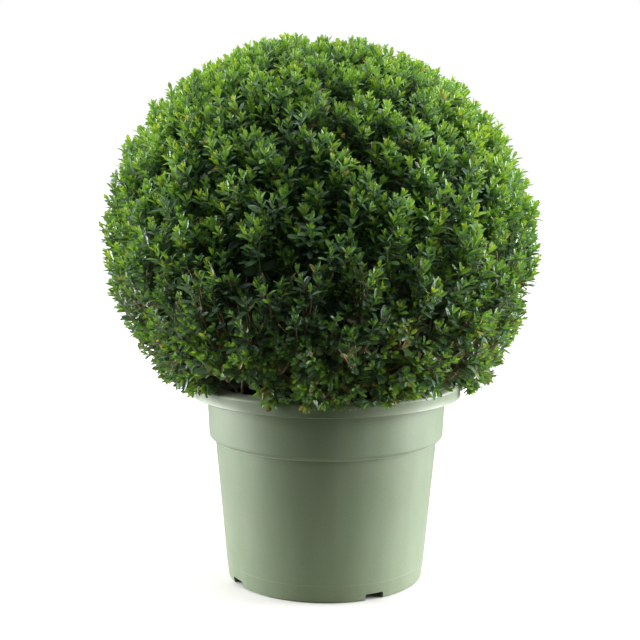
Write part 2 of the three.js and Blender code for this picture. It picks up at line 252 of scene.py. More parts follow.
def bark(name, dark, pale, relief):
    """Bark or twig skin: fibres along Z, lichen-pale patches."""
    f = Finish(name, roughness=0.85, specular=0.25)
    fibres = f.noise(260, detail=6, roughness=0.65, stretch=(1, 1, 0.25))
    patches = f.noise(45, detail=3)
    colour = f.ramp(fibres, [(0.3, dark), (0.7, pale)])
    grey = f.mix(f.range(patches, 0, 0.5, 0.5, 0.75), colour, (0.30, 0.28, 0.22))
    f.join(grey, f.shader.inputs["Base Color"])
    f.bumps([(fibres, 0.7, relief)])
    return f.material


def leaf_skin(name, colour, gloss=0.37, glow=0.26):
    """A leathery leaf: slight mottling of its colour, gloss, and light let through."""
    f = Finish(name, roughness=gloss, specular=0.7)
    mottle = f.noise(150, detail=3)
    darker = tuple(0.8 * c for c in colour)
    paler = tuple(min(1, 1.22 * c) for c in colour)
    f.join(f.ramp(mottle, [(0.3, darker), (0.7, paler)]), f.shader.inputs["Base Color"])
    f.join(f.range(f.noise(420), gloss - 0.06, gloss + 0.1), f.shader.inputs["Roughness"])
    red, green, blue = colour
    lit_through = (min(1, 1.8 * red), min(1, 1.6 * green), 0.8 * blue, 1)
    through = f.node("ShaderNodeBsdfTranslucent", Color=lit_through)
    f.blend(f.shader, through).default_value = glow
    return f.material


# ---- Mesh helpers ----

# A profile point nearer to the axis than this lies on it.
AXIS_RADIUS = 1e-6


def link_object(name, data):
    """Puts a mesh, lamp or camera in the scene under a name of its own."""
    made = bpy.data.objects.new(name, data)
    bpy.context.scene.collection.objects.link(made)
    return made


def add_object(name, mesh, material):
    """Puts a mesh in the scene, with one material."""
    mesh.materials.append(material)
    return link_object(name, mesh)


def mesh_from_arrays(name, points, triangles):
    """A smooth triangle mesh from numpy arrays of points and of corner indices."""
    mesh = bpy.data.meshes.new(name)
    count = len(triangles)
    mesh.vertices.add(len(points))
    mesh.vertices.foreach_set("co", np.ravel(points).astype(np.float32))
    mesh.loops.add(3 * count)
    mesh.loops.foreach_set("vertex_index", np.ravel(triangles).astype(np.int32))
    mesh.polygons.add(count)
    mesh.polygons.foreach_set("loop_start", np.arange(0, 3 * count, 3, dtype=np.int32))
    mesh.polygons.foreach_set("use_smooth", np.full(count, True))
    mesh.update(calc_edges=True)
    mesh.validate()
    return mesh


def mark_sharp_by_angle(mesh, degrees):
    """Smooth faces, with a sharp edge wherever two faces meet at more than the angle."""
    bm = bmesh.new()
    bm.from_mesh(mesh)
    limit = math.radians(degrees)
    for face in bm.faces:
        face.smooth = True
    for edge in bm.edges:
        edge.smooth = len(edge.link_faces) == 2 and edge.calc_face_angle(0) < limit
    bm.to_mesh(mesh)
    bm.free()


def ring_of_points(radius, height, segments):
    """Points round Z at a height, or the one point on the axis."""
    if radius < AXIS_RADIUS:
        return [(0, 0, height)]
    turns = [2 * math.pi * i / segments for i in range(segments)]
    return [(radius * math.cos(t), radius * math.sin(t), height) for t in turns]


def mesh_from_bmesh(name, bm):
    """Turns a bmesh into a mesh, and frees it."""
    mesh = bpy.data.meshes.new(name)
    bm.to_mesh(mesh)
    bm.free()
    return mesh


def lathe(name, profile, segments):
    """Turns (radius, height) points round Z; a profile may start and end on the axis."""
    bm = bmesh.new()
    rings = []
    for radius, height in profile:
        points = ring_of_points(radius, height, segments)
        rings.append([bm.verts.new(point) for point in points])
    for low, high in zip(rings, rings[1:]):
        for i in range(segments):
            edge = (i, (i + 1) % segments)
            corners = [low[k % len(low)] for k in edge] + [high[k % len(high)] for k in edge[::-1]]
            # A point on the axis is a corner only once.
            bm.faces.new(list(dict.fromkeys(corners)))
    bmesh.ops.recalc_face_normals(bm, faces=bm.faces)
    return mesh_from_bmesh(name, bm)


def arc(centre, radius, start, end, steps):
    """Points of an arc in the profile plane, angles in degrees."""
    angles = [math.radians(start + (end - start) * i / steps) for i in range(steps + 1)]
    return [(centre[0] + radius * math.cos(a), centre[1] + radius * math.sin(a)) for a in angles]


def apply_modifiers(piece):
    """Makes the modified shape the piece's own mesh."""
    graph = bpy.context.evaluated_depsgraph_get()
    mesh = bpy.data.meshes.new_from_object(piece.evaluated_get(graph))
    old = piece.data
    piece.modifiers.clear()
    piece.data = mesh
    bpy.data.meshes.remove(old)


def unit(vectors):
    """The vectors at length 1."""
    return vectors / np.maximum(np.linalg.norm(vectors, axis=-1, keepdims=True), 1e-9)


def sideways(directions):
    """Two unit vectors at right angles to each direction."""
    steep = np.abs(directions[..., 2:3]) > 0.9
    helper = np.where(steep, np.array([1.0, 0, 0]), np.array([0, 0, 1.0]))
    across = unit(np.cross(helper, directions))
    return across, np.cross(directions, across)


def tube_faces(rings, sides):
    """Triangles of one tube's wall and ends; the ends' middles come after the wall's points."""
    faces = []
    for k in range(rings - 1):
        for i in range(sides):
            a, b = k * sides + i, k * sides + (i + 1) % sides
            faces += [(a, b, b + sides), (a, b + sides, a + sides)]
    start, finish, last = rings * sides, rings * sides + 1, (rings - 1) * sides
    for i in range(sides):
        j = (i + 1) % sides
        faces += [(start, j, i), (finish, last + i, last + j)]
    return np.array(faces)


def tubes(paths, radii, sides):
    """Points and triangles of tapering tubes along paths (tube, ring, xyz), with closed ends."""
    count, rings, _ = paths.shape
    along = np.gradient(paths, axis=1)
    across, other = sideways(unit(along))
    turns = 2 * np.pi * np.arange(sides) / sides
    ring = across[:, :, None] * np.cos(turns)[:, None] + other[:, :, None] * np.sin(turns)[:, None]
    wall = paths[:, :, None] + ring * radii[:, :, None, None]
    points = wall.reshape(count, rings * sides, 3)
    ends = np.stack([paths[:, 0], paths[:, -1]], axis=1)
    points = np.concatenate([points, ends], axis=1)
    step = points.shape[1]
    triangles = tube_faces(rings, sides)[None] + (np.arange(count) * step)[:, None, None]
    return points.reshape(-1, 3), triangles.reshape(-1, 3)


def bezier(start, control, end, rings):
    """Quadratic curves, each sampled at a number of rings: (curve, ring, xyz)."""
    t = np.linspace(0, 1, rings)[None, :, None]
    return (1 - t) ** 2 * start[:, None] + 2 * t * (1 - t) * control[:, None] + t**2 * end[:, None]


# ---- Container ----


def pot_foot():
    """The base's rounded edge and the short foot, with a fine groove above it."""
    p = POT
    base_round = p["base_round"]
    groove_radius = p["foot_radius"] - p["foot_groove"]
    return [
        *arc((p["base_radius"] - base_round, base_round), base_round, -90, -5, 6),
        (p["foot_radius"], p["foot_z"] - 1.2 * MM),
        (groove_radius, p["foot_z"] - 0.6 * MM),
        (groove_radius, p["foot_z"]),
    ]


def pot_body():
    """The straight wall that widens from the foot to the ledge."""
    p = POT
    height = p["ledge_z"] - p["ledge_round"] - p["foot_z"]
    slope = (p["body_top_radius"] - p["foot_radius"]) / height
    rises = [height * share for share in (0.02, 0.2, 0.4, 0.6, 0.8, 0.97)]
    return [(p["foot_radius"] + slope * rise, p["foot_z"] + rise) for rise in rises]


def pot_ledge():
    """A rounded step from the body out to the collar."""
    p = POT
    steps = 8
    bulge = 1.3
    width = p["collar_low_radius"] - p["body_top_radius"]
    points = []
    for i in range(steps + 1):
        turn = math.pi / 2 * i / steps
        radius = p["body_top_radius"] + width * math.sin(turn) ** bulge
        points.append((radius, p["ledge_z"] - p["ledge_round"] * math.cos(turn) ** bulge))
    return points


def pot_collar():
    """The collar's wall, from the ledge up to the rim's lower edge."""
    p = POT
    rise = POT_TOP - p["rim_drop"] - p["ledge_z"]
    widening = p["collar_top_radius"] - p["collar_low_radius"]
    shares = (0.03, 0.25, 0.5, 0.75, 0.93, 1)
    return [(p["collar_low_radius"] + widening * k, p["ledge_z"] + rise * k) for k in shares]


def pot_outer_profile():
    """The outer wall from the underside's edge up to the rim's lower edge."""
    return [*pot_foot(), *pot_body(), *pot_ledge(), *pot_collar()]


def pot_rim_profile():
    """The rim turns outwards and down: a skirt with a thickened lip, under a rounded top."""
    low = POT_TOP - POT["rim_drop"]
    lip = RIM["lip"]
    round_top = RIM["round_top"]
    outer = RIM_RADIUS
    return [
        (POT["collar_top_radius"] + 1.5 * MM, low + 3 * MM),
        (outer - 5 * MM, low + 3 * MM),
        (outer - 3.4 * MM, low + 0.6 * MM),
        *arc((outer - lip - 0.2 * MM, low + lip), lip, -110, 0, 6),
        (outer - 0.9 * MM, low + 4.2 * MM),
        (outer - 0.7 * MM, low + 10 * MM),
        *arc((outer - round_top, POT_TOP - round_top), round_top, 0, 90, 10),
        (outer - 12 * MM, POT_TOP - 0.2 * MM),
        *arc((outer - 19 * MM, POT_TOP - 6 * MM), 6 * MM, 90, 178, 6),
    ]


def pot_inner_profile():
    """The inner wall, one wall's thickness inside the outer one, from the collar to the floor."""
    wall, floor, corner = POT["wall"], POT["floor"], POT["floor_corner"]
    under_rim = POT_TOP - 30 * MM
    inside = []
    for radius, height in pot_outer_profile():
        if POT["foot_z"] < height < under_rim:
            lift = 1 * MM if height < POT["ledge_z"] else 0
            inside.append((radius - wall, height + lift))
    foot = arc((POT["base_radius"] - wall - corner, floor + corner), corner, 0, -90, 5)
    return [*reversed(inside), *foot, (0, floor)]


def drain_cutter(index):
    """A rounded slot across the foot of the wall."""
    azimuth = math.radians(DRAIN["first_azimuth"] - 90 + 360 * index / DRAIN["count"])
    bm = bmesh.new()
    bmesh.ops.create_cube(bm, size=1)
    size = (2 * DRAIN["depth"], DRAIN["width"], 2 * DRAIN["height"])
    bmesh.ops.scale(bm, vec=size, verts=bm.verts)
    lengthwise = [e for e in bm.edges if abs(e.verts[0].co.x - e.verts[1].co.x) > DRAIN["depth"]]
    corner = DRAIN["corner"]
    bmesh.ops.bevel(bm, geom=lengthwise, offset=corner, segments=4, affect="EDGES", profile=0.5)
    turn = Matrix.Rotation(azimuth, 4, "Z") @ Matrix.Translation((POT["base_radius"], 0, 0))
    bmesh.ops.transform(bm, matrix=turn, verts=bm.verts)
    return link_object("drain", mesh_from_bmesh("drain", bm))


def container():
    """The pot as one turned wall, with the drain slots cut through its foot."""
    profile = [(0, 0), *pot_outer_profile(), *pot_rim_profile(), *pot_inner_profile()]
    piece = add_object("container", lathe("container", profile, POT["segments"]), pot_plastic())
    cutters = [drain_cutter(i) for i in range(DRAIN["count"])]
    for cutter in cutters:
        cut = piece.modifiers.new("drain", "BOOLEAN")
        cut.operation = "DIFFERENCE"
        cut.solver = "EXACT"
        cut.object = cutter
    apply_modifiers(piece)
    for cutter in cutters:
        bpy.data.objects.remove(cutter)
    mark_sharp_by_angle(piece.data, 38)
    weighted = piece.modifiers.new("weighted_normal", "WEIGHTED_NORMAL")
    weighted.keep_sharp = True
    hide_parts("pot")
    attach(piece, "root")


# ---- Potting mix ----

SOIL_RADIUS = POT["collar_top_radius"] - POT["wall"] - 1 * MM
SOIL = dict(
    rings=60,
    segments=150,
    depth=60 * MM,
    edge_drop=7 * MM,
    sunk=3 * MM,
    unevenness=3.5 * MM,
    noise_scale=60,
)
CRUMBS = dict(count=1500, smallest=1.2 * MM, largest=4.0 * MM, from_wall=6 * MM, jitter=0.3)


def soil_height(x, y):
    """A low mound with uneven lumps that even out at the wall."""
    share = math.hypot(x, y) / SOIL_RADIUS
    rough = noise.fractal(Vector((x, y, 0)) * SOIL["noise_scale"], 0.6, 2.0, 5)
    mound = SOIL_TOP - SOIL["edge_drop"] * share * share
    return mound - SOIL["sunk"] + rough * SOIL["unevenness"] * (1 - share**8)


def potting_soil():
    """The compost's body, closed below, with an uneven top."""
    rings = SOIL["rings"]
    profile = [(SOIL_RADIUS * (1 - i / rings) ** 0.9, SOIL_TOP) for i in range(rings + 1)]
    deep = SOIL_TOP - SOIL["depth"]
    skirt = [(0, deep), (SOIL_RADIUS - 5 * MM, deep)]
    mesh = lathe("compost", [*skirt, *profile], SOIL["segments"])
    for vertex in mesh.vertices:
        if vertex.co.z > SOIL_TOP - SOIL["depth"] / 2:
            vertex.co.z = soil_height(vertex.co.x, vertex.co.y)
    mark_sharp_by_angle(mesh, 60)
    piece = add_object("compost", mesh, potting_mix())
    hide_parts("potting_soil")
    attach(piece, "root")


def add_crumb(bm, rng):
    """One lump or bark chip: a stretched, dented ball that lies on the compost."""
    c = CRUMBS
    reach = (SOIL_RADIUS - c["from_wall"]) * math.sqrt(rng.random())
    azimuth = 2 * math.pi * rng.random()
    x, y = reach * math.cos(azimuth), reach * math.sin(azimuth)
    size = rng.uniform(c["smallest"], c["largest"])
    made = bmesh.ops.create_icosphere(bm, subdivisions=1, radius=size)
    stretch = Vector(rng.uniform(0.4, 1.5, 3))
    turn = Matrix.Rotation(rng.uniform(0, 6.28), 3, Vector(rng.normal(size=3)).normalized())
    place = Vector((x, y, soil_height(x, y) + 0.3 * size))
    dents = Vector((x, y, 0)) * 999
    for vertex in made["verts"]:
        jitter = 1 + c["jitter"] * noise.noise(vertex.co * 900 + dents)
        vertex.co = turn @ (vertex.co * jitter * stretch) + place


def soil_crumbs():
    """Lumps and bark chips that lie on the compost."""
    rng = np.random.default_rng(SEED + 1)
    bm = bmesh.new()
    for _ in range(CRUMBS["count"]):
        add_crumb(bm, rng)
    mesh = mesh_from_bmesh("compost_crumbs", bm)
    piece = add_object("compost_crumbs", mesh, potting_mix())
    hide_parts("potting_soil")
    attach(piece, "root")


# ---- Wood ----


def bough_path(index, rings):
    """The centreline of a bough, from inside the trunk to where it enters the ball."""
    b = BOUGHS
    high = index % 2
    azimuth = 2 * math.pi * (index + 0.25) / b["count"]
    reach = b["end_reach"][high] + 6 * MM * math.sin(3 * azimuth)
    start = b["start_z"][high]
    rise = b["floor_z"] - start
    # A cubic through four stations: how far out from the axis, and how far up from the start.
    outs = (4 * MM, 0.4 * reach, 0.8 * reach, reach)
    ups = (-2 * MM, 0.3 * rise, 0.72 * rise, rise + 8 * MM)
    known = np.linspace(0, 1, len(outs))
    wanted = np.linspace(0, 1, rings)
    out = np.polyval(np.polyfit(known, outs, 3), wanted)
    up = start + np.polyval(np.polyfit(known, ups, 3), wanted)
    return np.stack([out * math.cos(azimuth), out * math.sin(azimuth), up], axis=1)


def bark_relief(points, path, sides):
    """Moves a tube's wall in and out in lengthwise ridges."""
    r = BARK_RELIEF
    for i, middle in enumerate(path):
        lengthwise = r["along"] * float(middle[2]) + i * r["drift"]
        for j in range(sides):
            k = i * sides + j
            turn = 2 * math.pi * j / sides
            x, y = r["around"] * math.cos(turn), r["around"] * math.sin(turn)
            ridge = abs(noise.fractal(Vector((x, y, lengthwise)), 0.7, 2.1, 4))
            points[k] = middle + (points[k] - middle) * (r["proud"] - r["depth"] * ridge)
    return points


def limb(name, path, radii, node, material):
    """One limb with bark relief, in place of its CAD node."""
    points, triangles = tubes(path[None], radii[None], LIMB_SIDES)
    points = bark_relief(points, path, LIMB_SIDES)
    piece = add_object(name, mesh_from_arrays(name, points, triangles), material)
    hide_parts(node)
    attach(piece, "root")


def trunk(material):
    """Short trunk with a root flare, leaning a little to -X."""
    share = np.linspace(0, 1, TRUNK["rings"])
    height = trunk_low.z + (trunk_high.z - trunk_low.z) * share
    path = np.stack([TRUNK_LEAN * share, 0 * share, height], axis=1)
    flare = TRUNK["flare"] * (1 - share) ** TRUNK["flare_power"]
    radii = flare + TRUNK["radius"] - TRUNK["taper"] * share
    limb("trunk_bark", path, radii, "trunk", material)


def boughs(material):
    """The limbs that carry the ball, each in place of its own CAD node."""
    rings = BOUGHS["rings"]
    radii = np.linspace(BOUGHS["root_radius"], BOUGHS["tip_radius"], rings)
    for index in range(BOUGHS["count"]):
        path = bough_path(index, rings)
        limb(f"bough_bark_{index + 1}", path, radii, f"bough_{index + 1}", material)


# ---- Foliage ----

# Sprays: each forks at a node deep in the crown, and its shoots fill one patch of the outline.
SPRAYS = dict(
    count=450,
    shoots=12,
    low_sine=-0.78,
    depth=74 * MM,
    jitter=8 * MM,
    spread=31 * MM,
    dome=27 * MM,
    lift=1.5,
    wander=0.12,
)
# How far single shoots leave the pattern: turn in radians, inset and start in millimetres, the
# rest as shares.
SHOOT_SCATTER = dict(
    turn=0.3,
    share=(0.8, 1.2),
    spread=(0.75, 1.25),
    inset=3.5,
    start=14,
    bend=(0.45, 0.6),
    sway=0.45,
    wander=0.16,
)
# Smooth noise over the crown sets whole sprays back: broad lumps, and deeper hollows here and
# there, least on top.
LUMPS = dict(scale=11, offset=1, depth=6 * MM)
HOLLOWS = dict(scale=17, offset=21, above=0.05, depth=60 * MM)
# A gap over the rim, where the stems show: its middle and half its width round the axis.
GAP = dict(azimuth=math.radians(-126), half_width=math.radians(11), top=327 * MM)
# Loose low shoots that the shears missed: azimuth in degrees, then reach from the axis and
# height in millimetres.
STRAYS = [
    (-176, 244, 326), (-170, 236, 317), (-164, 228, 311), (-157, 222, 308),
    (-150, 214, 303), (-143, 206, 300), (-111, 202, 298), (-97, 205, 298),
    (-84, 207, 299), (-66, 210, 304), (-49, 214, 309), (-28, 220, 311),
    (-13, 226, 294), (-8, 232, 307), (-3, 238, 318), (24, 222, 301),
    (71, 216, 300), (118, 218, 301), (155, 226, 309),
]
STRAY = dict(shoots=4, depth=100 * MM, fan=8 * MM, droop=15 * MM, furthest=1.06)
# Bare stems that cross the gap: from and to, each given like a stray.
GAP_STEMS = [
    ((-113, 178, 288), (-128, 208, 340)),
    ((-121, 160, 280), (-118, 202, 344)),
    ((-133, 172, 286), (-123, 203, 336)),
    ((-141, 150, 282), (-136, 206, 334)),
]
# Pieces of tubes: rings, sides, radius at the root and at the tip in millimetres, and bark.
TUBES = dict(
    green_shoots=(5, 3, 1.2, 0.6, "green_stem"),
    woody_shoots=(5, 3, 1.2, 0.6, "brown_stem"),
    twigs=(6, 5, 2.0, 1.1, "twig_bark"),
    gap_stems=(12, 7, 2.4, 1.1, "tan_stem"),
    bare_twigs=(7, 4, 1.4, 0.8, "brown_stem"),
    branches=(9, 8, 5.0, 2.2, "twig_bark"),
)
# The share of the low shoots that have a bare twig beside them.
BARE_SHARE = 0.5
# Branches end deep inside the outline, down to the sine of the lowest one's slope from the
# crown's centre, but above the boughs' tips.
BRANCHES = dict(count=220, low_sine=-0.85, inset=150 * MM, arch=30 * MM, above_boughs=20 * MM)
# How far the twigs keep above the rim.
TWIG_CLEARANCE = 14 * MM

# Leaf pairs from a shoot's tip down: distance and length in millimetres, width as a share of
# the length, and degrees from the shoot.
LEAF_PAIRS = [
    (1.0, 9.0, 0.36, 12),
    (3.6, 12.8, 0.38, 24),
    (7.6, 15.4, 0.40, 36),
    (13.0, 17.0, 0.41, 47),
    (19.6, 17.6, 0.42, 56),
    (27.5, 17.6, 0.42, 63),
    (36.5, 17.6, 0.43, 69),
]
# The same for the larger leaves inside the ball, on twigs and on branches.
INNER_PAIRS = [
    (2, 20, 0.44, 55),
    (12, 22, 0.44, 62),
    (23, 23, 0.44, 66),
    (34, 23, 0.44, 70),
    (46, 23, 0.44, 72),
    (58, 23, 0.44, 74),
    (70, 23, 0.44, 76),
]
BRANCH_PAIRS = [(13 * k, 26, 0.48, 70) for k in range(15)]
# The scatter of leaves: turn in radians, lean in degrees, the rest as shares.
SCATTER = dict(turn=0.25, lean=9, vigour=0.13, size=(0.82, 1.15), breadth=(0.9, 1.1), curl=0.08)
LEAF_CURL = 0.10
LEAF_FOLD = 1.6
# No leaf of a clipped shoot ends further out than this, as a share of the outline.
FURTHEST = 1.025
# The share of the oldest leaves that shoots facing down have dropped.
SHED = 0.6

# Leaf colours, from the youngest to the oldest, then the odd ones. On shoots that face down, blue
# and green also stand for painted reflection.
LEAF_COLOURS = dict(
    lime=(0.395, 0.570, 0.070),
    fresh=(0.260, 0.470, 0.075),
    green=(0.196, 0.395, 0.097),
    mid=(0.150, 0.312, 0.120),
    deep=(0.110, 0.224, 0.117),
    blue=(0.124, 0.224, 0.158),
    olive=(0.250, 0.300, 0.110),
    straw=(0.540, 0.450, 0.190),
    umber=(0.190, 0.130, 0.070),
)
# A leaf younger than each of these ages has the colour beside it; the oldest are deep.
COLOUR_AGES = [(3.3, "mid"), (2.2, "green"), (1.1, "fresh"), (-0.35, "lime")]
# The odd colours' shares among the leaves on low old wood, and elsewhere.
ODD_COLOURS = [("olive", 0.10, 0.015), ("umber", 0.03, 0.002), ("straw", 0.016, 0.004)]
INNER_COLOURS = dict(deep=0.5, blue=0.3, umber=0.2)
# The bark of stems: its dark and its pale colour, and its relief in metres.
STEM_BARKS = dict(
    green_stem=((0.10, 0.15, 0.03), (0.20, 0.26, 0.07), 0.0002),
    brown_stem=((0.24, 0.17, 0.09), (0.52, 0.42, 0.26), 0.0002),
    twig_bark=((0.13, 0.09, 0.06), (0.34, 0.27, 0.18), 0.0004),
    tan_stem=((0.34, 0.26, 0.15), (0.60, 0.50, 0.34), 0.0003),
)

# A leaf, broadest past its middle and blunt at its tip: (across, along, up) as shares of its
# width and length. The midrib comes first, then the left and the right side.
LEAF_MIDRIB = [(0, 0, 0), (0, 0.50, 0), (0, 0.985, 0)]
LEAF_SIDE = [(0.27, 0.22, 0.08), (0.50, 0.58, 0.12), (0.33, 0.89, 0.06)]
LEAF_POINTS = np.array([*LEAF_MIDRIB, *((-x, y, z) for x, y, z in LEAF_SIDE), *LEAF_SIDE])
LEAF_FACES = np.array(
    [(0, 1, 3), (3, 1, 4), (4, 1, 2), (4, 2, 5), (0, 6, 1), (6, 7, 1), (7, 2, 1), (7, 8, 2)]
)
MIDRIB_EDGES = [(0, 1), (1, 2)]


def outwardness(points):
    """How far out each point lies along its ray from the crown's centre: 1 on the outline."""
    local = points - CROWN_CENTRE
    across = np.hypot(local[..., 0] - CROWN_LEAN * local[..., 2], local[..., 1]) / CROWN_RADIUS
    above = local[..., 2] > 0
    up = np.abs(local[..., 2]) / np.where(above, CROWN_UP, CROWN_DOWN)
    power = np.where(above, CROWN_POWER_UP, CROWN_POWER_DOWN)
    return np.maximum(across**power + up**power, 1e-9) ** (1 / power)


def onto_crown(points, inset=0):
    """Moves points out or in along their rays to the crown's outline less an inset."""
    ray = (points - CROWN_CENTRE) / outwardness(points)[:, None]
    share = 1 - inset / CROWN_RADIUS
    return CROWN_CENTRE + ray * np.reshape(share, (-1, 1))


def crown_spots(count, low_sine):
    """Points spread evenly over the crown's outline by the golden angle."""
    index = np.arange(count)
    sine = 1 + (low_sine - 1) * (index + 0.5) / count
    azimuth = GOLDEN_ANGLE * index
    across = np.sqrt(1 - sine**2)
    rays = np.stack([across * np.cos(azimuth), across * np.sin(azimuth), sine], axis=1)
    return onto_crown(CROWN_CENTRE + CROWN_RADIUS * rays)


def outward(points):
    """The outline's outward normals."""
    steps = np.eye(3) * MM
    slopes = [outwardness(points + step) - outwardness(points - step) for step in steps]
    return unit(np.stack(slopes, axis=-1))


def smooth_noise(points, scale, offset):
    """Noise of about -1 to 1 at each point."""
    shift = Vector((offset, 2 * offset, 3 * offset))
    return np.array([noise.noise(Vector(p) * scale + shift) for p in points.tolist()])


def picked(rows, chosen):
    """The chosen ones of a set of shoots or leaves."""
    return {key: value[chosen] for key, value in rows.items()}


def has_room(points, lowest=None):
    """Whether points keep off the container and above the fringe, or another lowest height."""
    if lowest is None:
        lowest = FRINGE_Z + FRINGE_TILT * np.abs(points[:, 0])
    reach = np.linalg.norm(points[:, :2], axis=1)
    high = points[:, 2]
    over_rim = (reach > POT["collar_top_radius"] - 8 * MM) & (reach < RIM_RADIUS + 3 * MM)
    clear_of_rim = ~over_rim | (high > POT_TOP + 1.5 * MM)
    return clear_of_rim & (high > lowest) & ((reach > SOIL_RADIUS) | (high > POT_TOP - 8 * MM))


def in_gap(points):
    """Whether points lie in the gap over the rim, which has a wavy top."""
    turn = np.arctan2(points[:, 1], points[:, 0]) - GAP["azimuth"]
    turn = np.abs((turn + np.pi) % (2 * np.pi) - np.pi)
    wave = 6 * MM * np.sin(turn * 23)
    return (turn < GAP["half_width"]) & (points[:, 2] < GAP["top"] + wave)


def fullness(normals):
    """The share of a spray's unevenness that is left: less where it faces down, or straight up."""
    up = normals[:, 2]
    return np.clip(1.2 + up, 0.65, 1) * (1 - 0.3 * np.clip(up, 0, 1) ** 2)


def hollowness(spots, normals):
    """How far lumps and hollows set the sprays back."""
    lumps = 0.5 + 0.5 * smooth_noise(spots, LUMPS["scale"], LUMPS["offset"])
    hollows = smooth_noise(spots, HOLLOWS["scale"], HOLLOWS["offset"]) - HOLLOWS["above"]
    hollows = np.clip(hollows, 0, 1) * np.clip(0.95 - normals[:, 2], 0.3, 1)
    return lumps * LUMPS["depth"] + hollows * HOLLOWS["depth"]


def spray_nodes(rng):
    """Where each spray forks, the way it grows, and how far inside the outline it ends."""
    s = SPRAYS
    spots = crown_spots(s["count"], s["low_sine"])
    shift = rng.normal(0, s["jitter"], spots.shape)
    spots = onto_crown(spots + shift)
    normals = outward(spots)
    # Shoots reach upwards, least where the crown faces down.
    lift = s["lift"] * np.clip(1 + 1.2 * (normals[:, 2] + 0.15), 0.12, 1)
    up = np.array([0, 0, 1.0])
    axes = unit(normals + lift[:, None] * up + s["wander"] * rng.normal(size=spots.shape))
    inset = hollowness(spots, normals) + rng.uniform(-2, 3, s["count"]) * MM
    inset = inset * fullness(normals)
    depth = s["depth"] + rng.uniform(-8, 8, s["count"]) * MM
    nodes = onto_crown(spots, inset) - axes * depth[:, None]
    nodes[:, 2] = np.maximum(nodes[:, 2], POT_TOP + TWIG_CLEARANCE)
    return dict(spot=spots, normal=normals, axis=axes, inset=inset, node=nodes)


def grow_shoots(rng):
    """Every spray forks into shoots whose tips fill a dome-shaped patch of the crown."""
    s, scatter = SPRAYS, SHOOT_SCATTER
    sprays = spray_nodes(rng)
    count = s["count"] * s["shoots"]
    owner = np.repeat(np.arange(s["count"]), s["shoots"])
    kth = np.tile(np.arange(s["shoots"]), s["count"])
    across, other = sideways(sprays["normal"])
    first_turn = rng.uniform(0, 2 * np.pi, s["count"])[owner]
    turn = GOLDEN_ANGLE * kth + first_turn + rng.normal(0, scatter["turn"], count)
    share = np.sqrt((kth + 0.5) / s["shoots"]) * rng.uniform(*scatter["share"], count)
    aside = across[owner] * np.cos(turn)[:, None] + other[owner] * np.sin(turn)[:, None]
    dome = s["dome"] * share**2 * fullness(sprays["normal"])[owner]
    inset = sprays["inset"][owner] + dome + rng.exponential(scatter["inset"], count) * MM
    spread = s["spread"] * rng.uniform(*scatter["spread"], s["count"])[owner]
    tips = onto_crown(sprays["spot"][owner] + aside * (spread * share)[:, None], inset)
    axis = sprays["axis"][owner]
    sway = scatter["sway"] * aside * share[:, None]
    heading = unit(axis + (sway + scatter["wander"] * rng.normal(size=(count, 3))))
    starts = sprays["node"][owner] + axis * rng.uniform(0, scatter["start"], count)[:, None] * MM
    bends = tips - heading * rng.uniform(*scatter["bend"], count)[:, None] * s["depth"]
    keep = has_room(tips) & has_room(bends) & ~in_gap(tips) & ~in_gap(bends)
    shoots = dict(start=starts, bend=bends, tip=tips, normal=sprays["normal"][owner])
    return picked(shoots, keep), sprays["node"]


def around(azimuth, reach, height):
    """Points from degrees round the axis, reach from it, and height."""
    turn = np.radians(azimuth)
    return np.stack([reach * np.cos(turn), reach * np.sin(turn), height], axis=-1)


def grow_strays(rng):
    """Loose shoots that hang out over the rim, and the lowest height of each one's leaves."""
    places = np.array(STRAYS) * (1, MM, MM)
    azimuth, reach, height = np.repeat(places, STRAY["shoots"], axis=0).T
    count = len(azimuth)
    fan = STRAY["fan"] * np.array([1, 1, 0.5])
    tips = around(azimuth, reach, height) + rng.normal(0, 1, (count, 3)) * fan
    starts = around(azimuth, reach - STRAY["depth"], POT_TOP + rng.uniform(14, 30, count) * MM)
    bends = around(azimuth, reach - 4 * MM, POT_TOP + rng.uniform(16, 28, count) * MM)
    normals = unit(around(azimuth, reach, 0 * reach))
    shoots = dict(start=starts, bend=bends, tip=tips, normal=normals)
    return shoots, height - STRAY["droop"]


def grow_bare_twigs(shoots, rng):
    """Leafless twigs low in the ball, which follow its low shoots a little apart from them."""
    low = shoots["normal"][:, 2] < 0.05
    twigs = picked(shoots, low & (rng.random(len(low)) < BARE_SHARE))
    aside = rng.normal(0, 9, twigs["tip"].shape) * MM
    inset = rng.uniform(2, 26, len(aside)) * MM
    tips = twigs["tip"] + aside - twigs["normal"] * inset[:, None]
    bends = twigs["bend"] + 0.5 * aside
    keep = has_room(tips) & has_room(bends) & (outwardness(tips) < 1)
    return dict(start=twigs["start"][keep], bend=bends[keep], tip=tips[keep])


def gap_stems(rng):
    """The bare stems that show in the gap."""
    ends = np.array(GAP_STEMS) * (1, MM, MM)
    start, tip = (around(*ends[:, k].T) for k in (0, 1))
    bend = (start + tip) / 2 + rng.normal(0, 6, start.shape) * MM
    return dict(start=start, bend=bend, tip=tip)


def has_shed(leaves, shoots, rng):
    """Whether a leaf has dropped: many of the older ones on shoots that face down have."""
    shaded = np.clip(0.1 - 2.5 * shoots["normal"][leaves["shoot"], 2], 0, 1)
    old = np.clip((leaves["pair"] - 1) / 3, 0, 1)
    return rng.random(len(old)) < SHED * shaded * old


def shoot_lengths(shoots):
    """The curves' lengths, to within a few percent."""
    start, bend, tip = shoots["start"], shoots["bend"], shoots["tip"]
    chord = np.linalg.norm(tip - start, axis=1)
    arms = np.linalg.norm(bend - start, axis=1) + np.linalg.norm(tip - bend, axis=1)
    return (chord + arms) / 2


